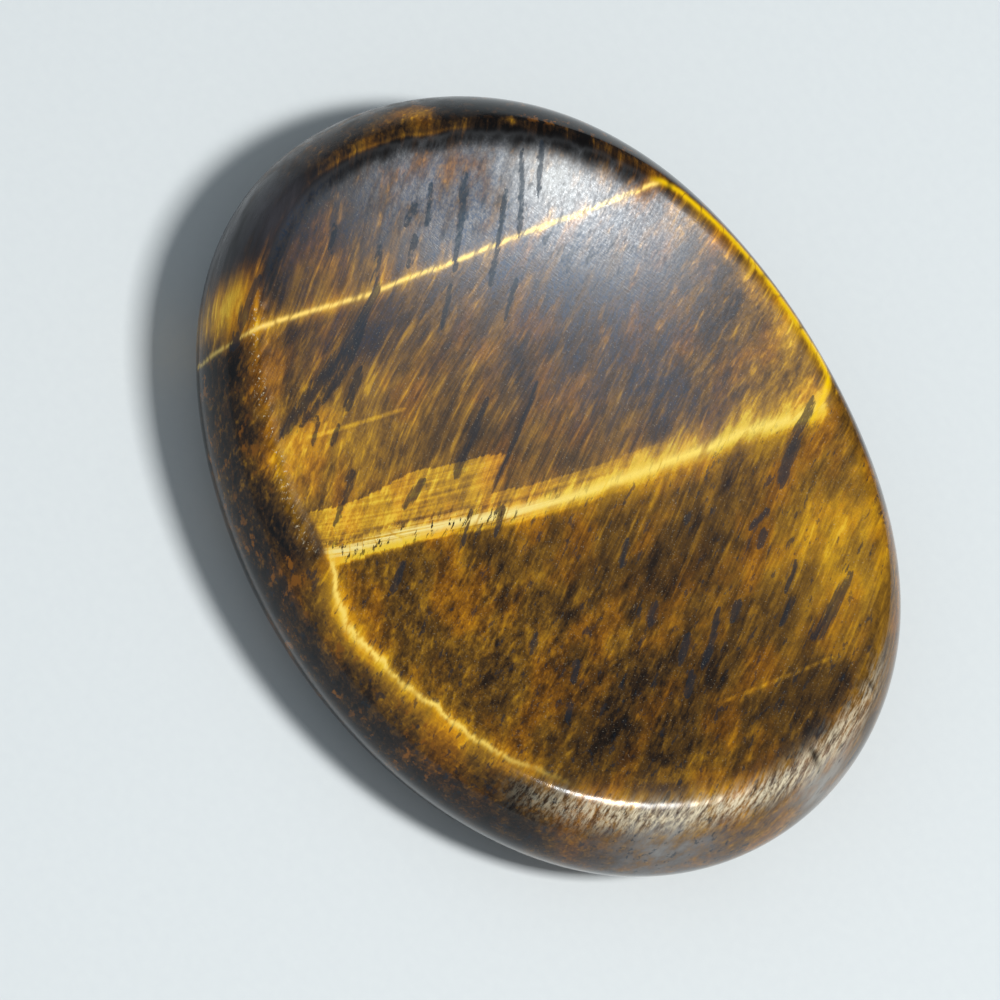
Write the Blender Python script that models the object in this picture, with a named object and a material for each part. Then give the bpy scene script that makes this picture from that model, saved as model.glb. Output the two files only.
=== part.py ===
"""A polished tiger's eye worry stone: one oval pebble with a thumb hollow ground into its top.

Metres, +Z up. The origin is the middle of the flat base, X runs along the stone and Y across it.
The pebble is built as the stone was ground: an oval outline, a rounded belly below and above it,
and a shallow bowl cut into the top, which leaves a soft rim that is wider at the two ends.
"""

import math

import bmesh
import bpy
from mathutils import Vector

MM = 0.001

# The stone's driving sizes
LENGTH = 46.0 * MM
WIDTH = 36.5 * MM
BELLY_HEIGHT = 4.7 * MM  # height of the widest line above the base
BASE_INSET = 6.0 * MM  # how far the flat base lies inside the outline
SHOULDER_RADIUS = 4.8 * MM  # round of the side above the widest line

# The thumb hollow
RIM_INSET = 2.5 * MM  # mean distance from the outline to the rim's crest
RIM_ROUNDING = 0.9 * MM  # how far the polish has eased each side of the crest
FLOOR_HEIGHT = 5.5 * MM  # lowest point of the bowl above the base
BOWL_CURVE = 2.2  # 2 is a plain parabola, more is flatter in the middle

# Hand grinding leaves the oval a little uneven. Each entry is (waves round the stone, cosine
# share, sine share) of the radius.
OUTLINE_SWELLS = (
    (2, 0.0, -0.008),
    (3, -0.001, 0.003),
    (4, -0.009, 0.004),
    (5, 0.0, -0.004),
)
# The rim is wide at the ends and narrow at the sides: the same, as distances.
RIM_SWELLS = (
    (1, 0.17 * MM, -0.08 * MM),
    (2, 0.58 * MM, -0.31 * MM),
    (3, 0.09 * MM, 0.22 * MM),
    (4, -0.10 * MM, -0.17 * MM),
)

# How finely the solid is faceted
AROUND = 88
UNDERSIDE_STEPS = 7
SHOULDER_STEPS = 6
RIM_STEPS = 5
BOWL_STEPS = 9

STONE_BROWN = (0.22, 0.12, 0.035, 1.0)
POLISHED_ROUGHNESS = 0.22


def swell(angle, waves):
    """Sum of a few slow waves round the stone."""
    return sum(c * math.cos(n * angle) + s * math.sin(n * angle) for n, c, s in waves)


def outline(angle):
    """Point of the widest line at an angle of the oval."""
    radius = 1.0 + swell(angle, OUTLINE_SWELLS)
    across = Vector((LENGTH / 2 * math.cos(angle), WIDTH / 2 * math.sin(angle)))
    return across * radius


def outward(angle):
    """Unit vector square to the outline, pointing away from the stone."""
    step = 1e-3
    along = outline(angle + step) - outline(angle - step)
    return Vector((along.y, -along.x)).normalized()


def side_point(angle, inset, height):
    """Point at an inset from the outline and a height above the base."""
    place = outline(angle) - outward(angle) * inset
    return Vector((place.x, place.y, height))


def rim_inset(angle):
    return RIM_INSET + swell(angle, RIM_SWELLS)


def shoulder_point(angle, tilt):
    """Point of the rounded side above the widest line, tilt radians up from it."""
    inset = SHOULDER_RADIUS * (1 - math.cos(tilt))
    return side_point(angle, inset, BELLY_HEIGHT + SHOULDER_RADIUS * math.sin(tilt))


def crest_tilt(angle):
    return math.acos(1 - rim_inset(angle) / SHOULDER_RADIUS)


def bowl_point(angle, share):
    """Point of the bowl: share 0 is its middle and share 1 the crest of the rim."""
    crest = shoulder_point(angle, crest_tilt(angle))
    rise = (crest.z - FLOOR_HEIGHT) * share**BOWL_CURVE
    return Vector((crest.x * share, crest.y * share, FLOOR_HEIGHT + rise))


def eased_rim(angle):
    """Points over the crest, on a curve from the shoulder to the bowl with the crest as its pull."""
    crest = shoulder_point(angle, crest_tilt(angle))
    start = shoulder_point(angle, crest_tilt(angle) - RIM_ROUNDING / SHOULDER_RADIUS)
    end = bowl_point(angle, 1 - RIM_ROUNDING / Vector((crest.x, crest.y)).length)
    shares = [step / RIM_STEPS for step in range(RIM_STEPS + 1)]
    return [start * (1 - s) ** 2 + crest * 2 * s * (1 - s) + end * s * s for s in shares]


def profile(angle):
    """Points from the edge of the flat base, over the belly and the rim, to near the bowl's middle."""
    points = []
    for step in range(UNDERSIDE_STEPS):
        tilt = math.pi / 2 * (1 - step / UNDERSIDE_STEPS)
        inset = BASE_INSET * (1 - math.cos(tilt))
        points.append(side_point(angle, inset, BELLY_HEIGHT * (1 - math.sin(tilt))))
    rim = eased_rim(angle)
    last_tilt = crest_tilt(angle) - RIM_ROUNDING / SHOULDER_RADIUS
    for step in range(SHOULDER_STEPS):
        points.append(shoulder_point(angle, last_tilt * step / SHOULDER_STEPS))
    points += rim
    crest = shoulder_point(angle, crest_tilt(angle))
    last_share = 1 - RIM_ROUNDING / Vector((crest.x, crest.y)).length
    for step in range(1, BOWL_STEPS):
        points.append(bowl_point(angle, last_share * (1 - step / BOWL_STEPS)))
    return points


def closed_loop(bm, points):
    """Adds a ring of vertices and the edges between them."""
    verts = [bm.verts.new(point) for point in points]
    return verts, [bm.edges.new((verts[i - 1], verts[i])) for i in range(len(verts))]


def build_stone():
    angles = [2 * math.pi * i / AROUND for i in range(AROUND)]
    profiles = [profile(angle) for angle in angles]
    bm = bmesh.new()
    loops = [closed_loop(bm, ring) for ring in zip(*profiles)]
    for (_, lower), (_, upper) in zip(loops, loops[1:]):
        bmesh.ops.bridge_loops(bm, edges=lower + upper)

    # The base is one flat face, and the bowl's middle a fan about its lowest point.
    base = bm.faces.new(reversed(loops[0][0]))
    base.normal_update()
    middle = bm.verts.new((0.0, 0.0, FLOOR_HEIGHT))
    innermost = loops[-1][0]
    for i in range(AROUND):
        bm.faces.new((innermost[i - 1], innermost[i], middle))
    bmesh.ops.recalc_face_normals(bm, faces=bm.faces)

    mesh = bpy.data.meshes.new("worry_stone")
    bm.to_mesh(mesh)
    bm.free()
    mesh.shade_smooth()
    return mesh


def tigers_eye():
    material = bpy.data.materials.new("tigers_eye")
    material.use_nodes = True
    shader = material.node_tree.nodes["Principled BSDF"]
    shader.inputs["Base Color"].default_value = STONE_BROWN
    shader.inputs["Roughness"].default_value = POLISHED_ROUGHNESS
    shader.inputs["Metallic"].default_value = 0.0
    return material


def main():
    for leftover in list(bpy.data.objects):
        bpy.data.objects.remove(leftover)
    mesh = build_stone()
    mesh.materials.append(tigers_eye())
    stone = bpy.data.objects.new("worry_stone", mesh)
    bpy.context.scene.collection.objects.link(stone)


main()
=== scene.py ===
# %% [markdown]
# # A tiger's eye worry stone
# The object is one oval pebble of tiger's eye. Its top has a shallow hollow for the thumb, and its
# outside is polished. The imported solid already has the right size, so this script gives the stone a
# fine surface and the silky golden stone itself. The solid's box is kept, hidden.

# %% Load the frame
import math

import bmesh
import bpy
import numpy as np
from mathutils import Matrix, Vector, noise


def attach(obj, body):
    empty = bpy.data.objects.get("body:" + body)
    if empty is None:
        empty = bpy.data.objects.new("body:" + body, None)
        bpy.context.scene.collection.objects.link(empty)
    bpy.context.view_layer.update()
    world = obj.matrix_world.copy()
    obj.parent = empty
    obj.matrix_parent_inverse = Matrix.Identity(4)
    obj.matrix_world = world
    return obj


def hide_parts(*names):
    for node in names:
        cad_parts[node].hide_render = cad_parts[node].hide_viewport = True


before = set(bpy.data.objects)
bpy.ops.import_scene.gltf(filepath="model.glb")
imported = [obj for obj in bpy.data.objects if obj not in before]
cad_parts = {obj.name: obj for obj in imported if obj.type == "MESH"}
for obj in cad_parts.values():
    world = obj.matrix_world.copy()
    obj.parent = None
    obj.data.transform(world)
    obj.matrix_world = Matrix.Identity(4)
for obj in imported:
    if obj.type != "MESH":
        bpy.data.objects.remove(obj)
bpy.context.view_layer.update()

# %% [markdown]
# ## The shape of the stone
# A worry stone is cut from a slab, ground to an oval and tumbled. The thumb hollow is ground on a
# small wheel, and the polish rounds the rim. Such a form could be sculpted, but here a formula
# says how far each point lies from the outline, so that the surface meets the solid everywhere.
# Lengths are metres, and MM turns millimetres into them.

# %% Sizes of the stone
MM = 0.001
LENGTH = 46.0 * MM
WIDTH = 36.5 * MM
BELLY_HEIGHT = 4.7 * MM  # height of the widest line
BASE_INSET = 6.0 * MM  # how far the flat base lies inside the outline
SHOULDER_RADIUS = 4.8 * MM  # round of the side above the widest line
RIM_INSET = 2.5 * MM  # mean distance from the outline to the crest of the rim
RIM_ROUNDING = 0.9 * MM  # how far the polish has eased each side of the crest
FLOOR_HEIGHT = 5.5 * MM  # lowest point of the hollow
BOWL_CURVE = 2.2  # 2 is a plain parabola, more is flatter in the middle

# Grinding leaves the oval uneven: (waves round the stone, cosine share, sine share)
OUTLINE_SWELLS = ((2, 0.0, -0.008), (3, -0.001, 0.003), (4, -0.009, 0.004), (5, 0.0, -0.004))
RIM_SWELLS = (
    (1, 0.17 * MM, -0.08 * MM),
    (2, 0.58 * MM, -0.31 * MM),
    (3, 0.09 * MM, 0.22 * MM),
    (4, -0.10 * MM, -0.17 * MM),
)


def swell(angle, waves):
    """Sum of a few slow waves round the stone."""
    return sum(c * np.cos(n * angle) + s * np.sin(n * angle) for n, c, s in waves)


def outline(angle):
    """Points of the widest line, as rows of x and y."""
    radius = 1 + swell(angle, OUTLINE_SWELLS)
    return np.stack([LENGTH / 2 * np.cos(angle) * radius, WIDTH / 2 * np.sin(angle) * radius], 1)


def outward(angle):
    """Unit vectors square to the outline."""
    along = outline(angle + 1e-3) - outline(angle - 1e-3)
    return np.stack([along[:, 1], -along[:, 0]], 1) / np.linalg.norm(along, axis=1)[:, None]


def side_ring(angle, inset, height):
    """A ring of points at an inset from the outline and a height above the base."""
    flat = outline(angle) - outward(angle) * np.broadcast_to(inset, angle.shape)[:, None]
    return np.column_stack([flat, np.broadcast_to(height, angle.shape)])


def shoulder_ring(angle, tilt):
    """A ring on the rounded side, tilt radians up from the widest line."""
    inset = SHOULDER_RADIUS * (1 - np.cos(tilt))
    return side_ring(angle, inset, BELLY_HEIGHT + SHOULDER_RADIUS * np.sin(tilt))


def crest_tilt(angle):
    return np.arccos(1 - (RIM_INSET + swell(angle, RIM_SWELLS)) / SHOULDER_RADIUS)


def bowl_ring(angle, share):
    """A ring in the hollow: share 0 is its middle and share 1 the crest of the rim."""
    crest = shoulder_ring(angle, crest_tilt(angle))
    share = np.broadcast_to(share, angle.shape)
    height = FLOOR_HEIGHT + (crest[:, 2] - FLOOR_HEIGHT) * share**BOWL_CURVE
    return np.column_stack([crest[:, :2] * share[:, None], height])


every_angle = np.linspace(0, math.tau, 720, endpoint=False)
crest_line = shoulder_ring(every_angle, crest_tilt(every_angle))
crest_bearing = np.arctan2(crest_line[:, 1], crest_line[:, 0])
crest_reach = np.hypot(crest_line[:, 0], crest_line[:, 1])
bearing_order = np.argsort(crest_bearing)


def around_crest(x, y, values):
    """Reads a value that is known along the crest at the bearing of each point."""
    known = crest_bearing[bearing_order]
    return np.interp(np.arctan2(y, x), known, values[bearing_order], period=math.tau)


print("crest of the rim, lowest and highest:", crest_line[:, 2].min(), crest_line[:, 2].max())

# %% [markdown]
# ## Turning the blank
# The blank could be a sphere pushed flat, but then its quads would crowd at two poles. A ring of
# vertices is drawn out instead, ring by ring, from the flat base over the belly, the rim and down
# into the hollow, as clay rises on a wheel. Each new ring is extruded from the last one and laid
# on the formula. A square grid fills the middle of the hollow, so no spokes meet there.

# %% Extrude the rings
AROUND = 176
UNDERSIDE_STEPS = 4
SHOULDER_STEPS = 5
RIM_STEPS = 8
BOWL_STEPS = 5
GRID_SHARE = 0.66  # the square grid fills this share of the hollow
angles = np.linspace(0, math.tau, AROUND, endpoint=False)


def profile_rings():
    """Rings of points from the edge of the base, over the rim, to the edge of the grid."""
    rings = []
    for step in range(UNDERSIDE_STEPS):
        tilt = math.pi / 2 * (1 - step / UNDERSIDE_STEPS)
        inset = BASE_INSET * (1 - math.cos(tilt))
        rings.append(side_ring(angles, inset, BELLY_HEIGHT * (1 - math.sin(tilt))))
    last_tilt = crest_tilt(angles) - RIM_ROUNDING / SHOULDER_RADIUS
    for step in range(SHOULDER_STEPS):
        rings.append(shoulder_ring(angles, last_tilt * step / SHOULDER_STEPS))
    crest = shoulder_ring(angles, crest_tilt(angles))
    last_share = 1 - RIM_ROUNDING / np.hypot(crest[:, 0], crest[:, 1])
    start = shoulder_ring(angles, last_tilt)
    end = bowl_ring(angles, last_share)
    for step in range(RIM_STEPS + 1):
        s = step / RIM_STEPS
        rings.append(start * (1 - s) ** 2 + crest * 2 * s * (1 - s) + end * s * s)
    for step in range(1, BOWL_STEPS + 1):
        rings.append(bowl_ring(angles, last_share + (GRID_SHARE - last_share) * step / BOWL_STEPS))
    return rings


def lay_ring(piece, points):
    """Moves the selected loop of vertices to the points, in order round the stone."""
    shape = bmesh.from_edit_mesh(piece.data)
    half_step = math.pi / AROUND
    loop = [v for v in shape.verts if v.select]
    loop.sort(key=lambda v: (math.atan2(v.co.y / WIDTH, v.co.x / LENGTH) + half_step) % math.tau)
    for vertex, point in zip(loop, points):
        vertex.co = point
    bmesh.update_edit_mesh(piece.data)


bpy.ops.object.select_all(action="DESELECT")
bpy.ops.mesh.primitive_circle_add(vertices=AROUND, radius=LENGTH / 2 - BASE_INSET)
stone = bpy.context.active_object
stone.name = stone.data.name = "stone"
bpy.ops.object.mode_set(mode="EDIT")
bpy.ops.mesh.select_mode(type="VERT")
rings = profile_rings()
bpy.ops.mesh.select_all(action="SELECT")
lay_ring(stone, rings[0])
for ring in rings[1:]:
    bpy.ops.mesh.extrude_region_move()
    lay_ring(stone, ring)
bpy.ops.mesh.fill_grid(span=AROUND // 4)
print("rings:", len(rings))

# %% Close the base and lay the grid into the hollow
ON_BASE = 1e-7  # metres, what lies lower is on the base
bpy.ops.mesh.select_all(action="DESELECT")
shape = bmesh.from_edit_mesh(stone.data)
for vertex in shape.verts:
    vertex.select_set(vertex.co.z < ON_BASE and vertex.is_boundary)
shape.select_flush_mode()
bmesh.update_edit_mesh(stone.data)
bpy.ops.mesh.edge_face_add()
bpy.ops.mesh.select_all(action="SELECT")
bpy.ops.mesh.normals_make_consistent(inside=False)
bpy.ops.object.mode_set(mode="OBJECT")


def read_places(mesh):
    places = np.zeros(len(mesh.vertices) * 3)
    mesh.vertices.foreach_get("co", places)
    return places.reshape(-1, 3)


places = read_places(stone.data)
crest_height = around_crest(places[:, 0], places[:, 1], crest_line[:, 2])
reach = np.hypot(places[:, 0], places[:, 1]) / around_crest(places[:, 0], places[:, 1], crest_reach)
in_grid = (reach < GRID_SHARE) & (places[:, 2] > BELLY_HEIGHT)
bowl_height = FLOOR_HEIGHT + (crest_height - FLOOR_HEIGHT) * reach**BOWL_CURVE
places[in_grid, 2] = bowl_height[in_grid]
stone.data.vertices.foreach_set("co", places.ravel())
stone.data.update()
print("vertices in the blank:", len(places), "of them in the grid:", int(in_grid.sum()))

# %% Smooth the blank
bpy.ops.object.select_all(action="DESELECT")
stone.select_set(True)
bpy.context.view_layer.objects.active = stone
smoothing = stone.modifiers.new("smoothing", "SUBSURF")
smoothing.levels = 2
smoothing.render_levels = 2
bpy.ops.object.modifier_apply(modifier="smoothing")
bpy.ops.object.shade_smooth()
print("faces in the stone:", len(stone.data.polygons))

# %% [markdown]
# ## Wear and small damage
# The polish of a cheap stone is never true: its faces ripple a little, its left rim is chipped by
# tiny pits, two nicks cut the lower rim, and a band beside it shows rough fibre ends that
# the wheel tore. They are small shapes and not colour, so they are pressed into the mesh itself.

# %% Measure the surface
FIBRE_BEARING = math.radians(118)  # the fibres run this way over the stone, from +X
fibre_along = np.array([math.cos(FIBRE_BEARING), math.sin(FIBRE_BEARING)])
fibre_across = np.array([math.sin(FIBRE_BEARING), -math.cos(FIBRE_BEARING)])


def fade(value, start, end):
    """0 before start, 1 after end, and smooth between them."""
    share = np.clip((value - start) / (end - start), 0, 1)
    return share * share * (3 - 2 * share)


def between(value, start, end, ease_in, ease_out):
    """Rises from 0 at start to 1, and falls to 0 again at end, over the two lengths given."""
    return fade(value, start, start + ease_in) * (1 - fade(value, end - ease_out, end))


def bell(value, middle, width):
    """1 in the middle, 0.37 a width away from it and soon 0."""
    return np.exp(-(((value - middle) / width) ** 2))


def oval(centre_x, centre_y, length, width, turn):
    """1 in the middle of an oval, fading to 0 past its edge. Lengths are mm, turn is degrees from +X."""
    turn = math.radians(turn)
    east, north = x - centre_x, y - centre_y
    along = (east * math.cos(turn) + north * math.sin(turn)) / (length / 2)
    across = (north * math.cos(turn) - east * math.sin(turn)) / (width / 2)
    return np.exp(-(along**2) - across**2)


def noise_at(spots):
    """Smooth noise from -1 to 1 at each spot, with lumps about one unit wide."""
    return np.array([noise.noise(Vector(spot)) for spot in spots])


places = read_places(stone.data)
normals = np.zeros(len(places) * 3)
stone.data.vertices.foreach_get("normal", normals)
normals = normals.reshape(-1, 3)
x, y, z = (places / MM).T
on_top = z > BELLY_HEIGHT / MM
bearing = np.degrees(np.arctan2(y, x))
gap = np.hypot(x, y) - around_crest(x, y, crest_reach) / MM  # mm outside the crest of the rim
print("furthest inside and outside the crest:", round(gap.min(), 1), round(gap.max(), 1), "mm")

# %% Press the wear into the surface
RIPPLE_SIZE = 7.0  # mm
RIPPLE_HEIGHT = 0.03  # mm
# Nicks in the rim: name, x, y, length, width, bearing, depth in mm
NICKS = (
    ("split in the lower rim", 20.3, 2.0, 1.1, 0.5, 3, 0.12),
    ("nick above it", 18.8, 7.4, 0.9, 0.4, 20, 0.07),
    ("scratch on the left rim", -6.0, -15.3, 1.8, 0.3, 60, 0.03),
)
PIT_COUNT = 26
PIT_BEARINGS = (-148, -106)  # degrees round the stone, along the left rim
ROUGH_BEARINGS = (-52, 34)  # the rough band, round the lower rim
ROUGH_GAP = 0.95  # mm, its middle lies this far outside the crest
ROUGH_WIDTH = 0.65  # mm
ROUGH_HEIGHT = 0.03  # mm
TORN_SIZE = (1.2, 0.28, 0.9)  # mm along the fibre, across it and down
CHIPPED_GAP = -0.05  # mm, the middle of the chipped edge
CHIPPED_WIDTH = 0.4  # mm

lift = noise_at(places / (RIPPLE_SIZE * MM)) * RIPPLE_HEIGHT * fade(z, 0.2, 2)
# The nicks are also painted dark brown inside: painted shade in each recess
painted_nick_shade = np.zeros(len(x))
for name, centre_x, centre_y, length, width, turn, depth in NICKS:
    nick = oval(centre_x, centre_y, length, width, turn) * on_top
    lift -= nick * depth
    painted_nick_shade = np.maximum(painted_nick_shade, nick * min(1, depth / 0.1))

dice = np.random.default_rng(7)
for pit in range(PIT_COUNT):
    pit_bearing = math.radians(dice.uniform(*PIT_BEARINGS))
    rim_reach = np.interp(pit_bearing, crest_bearing[bearing_order], crest_reach[bearing_order])
    pit_reach = rim_reach / MM + dice.normal(-0.05, 0.3)
    pit_x, pit_y = pit_reach * math.cos(pit_bearing), pit_reach * math.sin(pit_bearing)
    size = dice.uniform(0.4, 0.8)
    hit = oval(pit_x, pit_y, size * dice.uniform(1.0, 1.8), size, math.degrees(pit_bearing) + 90)
    lift -= hit * on_top * dice.uniform(0.02, 0.06)

rough_band = bell(gap, ROUGH_GAP, ROUGH_WIDTH) * between(bearing, *ROUGH_BEARINGS, 25, 25) * on_top
first_pit, last_pit = PIT_BEARINGS
chipped_edge = bell(gap, CHIPPED_GAP, CHIPPED_WIDTH) * between(bearing, first_pit - 4, last_pit + 8, 8, 8)
chipped_edge *= on_top
flat = places[:, :2]
torn_fibres = np.column_stack([flat @ fibre_along / MM, flat @ fibre_across / MM, z]) / TORN_SIZE
lift += (rough_band + 0.5 * chipped_edge) * noise_at(torn_fibres) * ROUGH_HEIGHT
places += normals * lift[:, None] * MM
stone.data.vertices.foreach_set("co", places.ravel())
stone.data.update()
print("deepest mark:", round(lift.min(), 3), "mm, highest:", round(lift.max(), 3), "mm")

# %% [markdown]
# ## Fibres and bands
# Tiger's eye is quartz that grew round fibres of blue asbestos, most of it since turned to rust. The
# fibres lie side by side and bend a little, and where a whole sheet of them kinks the light jumps
# into a bright line. Noise on straight axes would miss the bends, so each point of the mesh gets
# its own place measured along and across its fibre, in millimetres, and its distance from each
# line. The material then draws everything on those.

# %% Measure along and across the fibres
# Each bright line, a painted highlight: where it crosses the middle of the stone in mm along X, its lean and
# bow with Y
UPPER_LINE = (-13.0, 0.168, 0.0)
LOWER_LINE = (0.95, 0.255, -0.0012)
UPPER_END = (6.0, 0.0035)  # past this Y the upper line bends away, by this much a mm squared
KINK = -0.32  # how much the fibres turn above the upper line
BEND_SIZE = 9.0  # mm
BEND_WIDTH = 0.55  # mm that slow bends push the fibres aside


def write_attribute(name, kind, values):
    stone.data.attributes.new(name, kind, "POINT")
    field = "value" if kind == "FLOAT" else "vector"
    stone.data.attributes[name].data.foreach_set(field, np.asarray(values, np.float32).ravel())
    print(name, "from", np.round(values.min(0), 2), "to", np.round(values.max(0), 2))


def past_line(middle, lean, bow):
    """Distance past a bright line, less than 0 above it."""
    return x - middle - lean * y - bow * y**2


past_upper = past_line(*UPPER_LINE) - UPPER_END[1] * np.maximum(y - UPPER_END[0], 0) ** 2
past_lower = past_line(*LOWER_LINE)
above_upper = -np.log1p(np.exp(-past_upper * 3)) / 3  # past_upper where it is negative, eased to 0
bends = noise_at(places / (BEND_SIZE * MM))
across = places[:, :2] @ fibre_across / MM + KINK * above_upper + BEND_WIDTH * bends
along = places[:, :2] @ fibre_along / MM
write_attribute("fibre_place", "FLOAT_VECTOR", np.column_stack([along, across, z]))

# %% [markdown]
# ## The painted gold highlight along the rim
# Where the rim turns over, the fibres meet the light at every angle within a millimetre, so a bright
# thread of gold runs along it, and it is painted into the colour as a highlight. On the right the upper
# line runs into it, and at the lower left the lower line does. Each thread is measured from the crest,
# at a few bearings round the stone.

# %% Measure the gold threads and the reach of the lines
# Each thread of painted highlight: bearings in degrees, and there how far outside the crest it runs in mm,
# and its strength
THREADS = {
    "right": ((69, -2.2, 0.0), (72, -1.5, 0.9), (75, -0.7, 1.0), (78, 0.05, 1.0), (82, 0.2, 1.0),
              (100, 0.2, 1.0), (122, 0.25, 1.0), (126, 0.1, 0.8), (129, -0.3, 0.0)),
    "lower left": ((-103, -1.5, 0.0), (-100, -1.25, 0.8), (-96, -0.75, 1.0), (-92, -0.25, 1.0),
                   (-86, 0.2, 1.0), (-77, 0.0, 1.0), (-71, -0.1, 0.8), (-65, -0.4, 1.0),
                   (-58, -0.3, 0.9), (-51, -0.2, 0.6), (-44, -0.2, 0.25), (-36, -0.2, 0.0)),
}
THREAD_BREAKS = (124.6, 100.5, 88.8, -69.0)  # bearings where a fibre bundle cuts a thread
BREAK_WIDTH = 0.45  # degrees
FAR = 5.0  # mm, further from a line than it shows

thread_gap = np.full(len(x), FAR)
thread_power = np.zeros(len(x))
crest_mm = around_crest(x, y, crest_reach) / MM
for knots in THREADS.values():
    knots = np.array(sorted(knots))
    near = (bearing > knots[0, 0] - 4) & (bearing < knots[-1, 0] + 4) & on_top
    offset = np.interp(bearing, knots[:, 0], knots[:, 1])
    nearby = np.interp(bearing + 1, knots[:, 0], knots[:, 1])
    slant = (nearby - offset) / (crest_mm * math.radians(1))
    thread_gap[near] = ((gap - offset) / np.hypot(1, slant))[near]
    thread_power[near] = np.interp(bearing, knots[:, 0], knots[:, 2])[near]
for place in THREAD_BREAKS:
    thread_power *= 1 - 0.9 * bell(bearing, place, BREAK_WIDTH)
# The upper line is dimmer on the rim and ends on the wall, and the lower one ends inside the crest
upper_power = (1 - 0.45 * fade(gap, 0.1, 0.7)) * (1 - fade(gap, 2.8, 3.6)) * (1 - fade(y, 13.6, 14.4))
lower_power = 1 - fade(gap, -1.15, -0.55)
write_attribute("line_gaps", "FLOAT_VECTOR", np.column_stack([past_upper, past_lower, thread_gap]))
powers = np.column_stack([upper_power, lower_power, thread_power]) * on_top[:, None]
write_attribute("line_power", "FLOAT_VECTOR", powers)

# Faint gold lines in the hollow: where each crosses Y = 0, its lean, and its two ends along Y
FAINT_LINES = ((-6.4, 0.18, -13.5, -3.7), (15.15, 0.19, -1.8, 8.2))
beside_faint = np.full(len(x), FAR)
for middle, lean, start, end in FAINT_LINES:
    past_ends = fade(y, end - 2, end + 1) + 1 - fade(y, start - 1, start + 2)
    beside_faint = np.minimum(beside_faint, np.abs(x - middle - lean * y) + 2 * past_ends)
write_attribute("beside_faint", "FLOAT", beside_faint)

# %% [markdown]
# ## Patches and inclusions
# The rust is not even: whole patches are golden, others brown or almost black, and the
# asbestos that did not rust stays as slim blue-grey spindles along the fibres. No noise would
# put them where this stone has them, so each one has its own place: a patch is a soft oval and a
# spindle a tapered path, both in millimetres. The noise in the material only frays their edges.

# %% Place the patches
# Each patch: name, x, y, length, width, bearing, strength. Strength above 0 is more golden.
PATCHES = (
    ("golden fibres left of the middle", -8.0, -8.8, 11.0, 7.0, 112, 0.22),
    ("golden left edge of the hollow", -8.0, -12.8, 6.0, 3.0, 112, 0.20),
    ("shade under the upper line", -11.2, -5.0, 4.0, 9.0, 170, -0.10),
    ("brown top of the hollow", -15.5, -1.0, 5.0, 12.0, 170, -0.03),
    ("black edge of the hollow, top", -19.0, -1.5, 3.0, 14.0, 176, -0.14),
    ("gold above the right end of the upper line", -12.6, 12.2, 2.2, 2.2, 118, 0.22),
    ("dark upper right", -6.5, 8.5, 9.0, 14.0, 165, -0.07),
    ("gold behind the right rim", -4.0, 15.2, 10.0, 1.6, 20, 0.08),
    ("gold where the right rim meets the line", 2.0, 13.6, 7.0, 5.0, 110, 0.22),
    ("dark sheet under the lower line", 3.6, -4.2, 12.0, 4.6, 80, -0.07),
    ("dark sheet to the right of it", 7.6, 2.2, 9.0, 3.2, 70, -0.18),
    ("gold spindle in the dark sheet", 3.9, -3.6, 2.6, 1.4, 118, 0.22),
    ("golden right side", 10.0, 10.6, 9.0, 4.6, 108, 0.24),
    ("gold at the right edge", 13.4, 10.4, 7.0, 3.4, 130, 0.25),
    ("amber lower end", 15.4, -1.5, 5.0, 11.0, 165, -0.08),
    ("dark brown low middle", 12.0, -3.5, 5.0, 13.0, 165, -0.15),
    ("brown by the lower left rim", 14.5, -7.2, 4.5, 4.5, 0, -0.14),
    ("gold on the right wall", 13.6, 14.0, 14.0, 3.4, 130, 0.13),
    ("gold on the left wall", -16.7, -11.4, 4.6, 2.0, 125, 0.62),
    ("left wall", -4.0, -17.6, 20.0, 3.4, 165, -0.02),
    ("dark left end", -20.5, -7.5, 9.0, 4.4, 110, -0.50),
    ("dark beside the gold", -14.6, -13.6, 3.4, 2.4, 130, -0.30),
    ("dark upper wall", -18.0, 9.0, 18.0, 4.4, 45, -0.26),
    ("amber on the upper wall", -20.6, 3.8, 3.0, 1.3, 70, 0.45),
    ("amber spot on the upper wall", -17.5, 8.4, 0.9, 0.7, 60, 0.50),
    ("gold on the lower left wall", 5.0, -16.4, 12.0, 2.6, 8, 0.04),
    ("olive lower wall", 19.5, -7.0, 16.0, 5.0, 62, 0.34),
)
# Where little rust tints the quartz, it stays violet-grey
GREY_PATCHES = (
    ("top of the hollow", -15.0, 5.0, 9.0, 16.0, 165, 0.75),
    ("under the upper line, right", -8.0, 8.0, 8.0, 14.0, 150, 0.78),
    ("middle", -3.0, 5.0, 5.0, 9.0, 150, 0.30),
    ("left of the middle", -12.0, -6.0, 8.0, 9.0, 112, 0.30),
    ("right of the middle", 0.5, 9.0, 8.0, 8.0, 130, 0.38),
)
GREY_WALLS = (
    ("left end", -20.5, -7.5, 10.0, 5.0, 110, 0.60),
    ("lower end", 19.2, -8.2, 8.0, 4.0, 60, 0.75),
    ("lower wall", 21.0, -2.0, 10.0, 2.6, 95, 0.45),
)
# Paler than the rest: in the hollow a sheen painted where the haze is brightest, and on the walls milk-white
# quartz
PAINTED_SHEEN_PATCHES = (("upper right of the hollow", -13.9, 9.0, 5.5, 4.4, 20, 0.85),)
MILKY_WALLS = (
    ("lower end", 19.6, -7.6, 5.0, 2.6, 62, 0.45),
    ("lower right wall", 21.4, 2.2, 5.0, 2.4, 95, 0.70),
)
# Where the mottles are strong
MOTTLED_PATCHES = (
    ("left of the lower part", 4.0, -9.0, 15.0, 11.0, 40, 0.8),
    ("low middle", 11.0, -3.0, 9.0, 9.0, 30, 0.4),
)
print("patches:", len(PATCHES), "grey:", len(GREY_PATCHES + GREY_WALLS))

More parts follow.
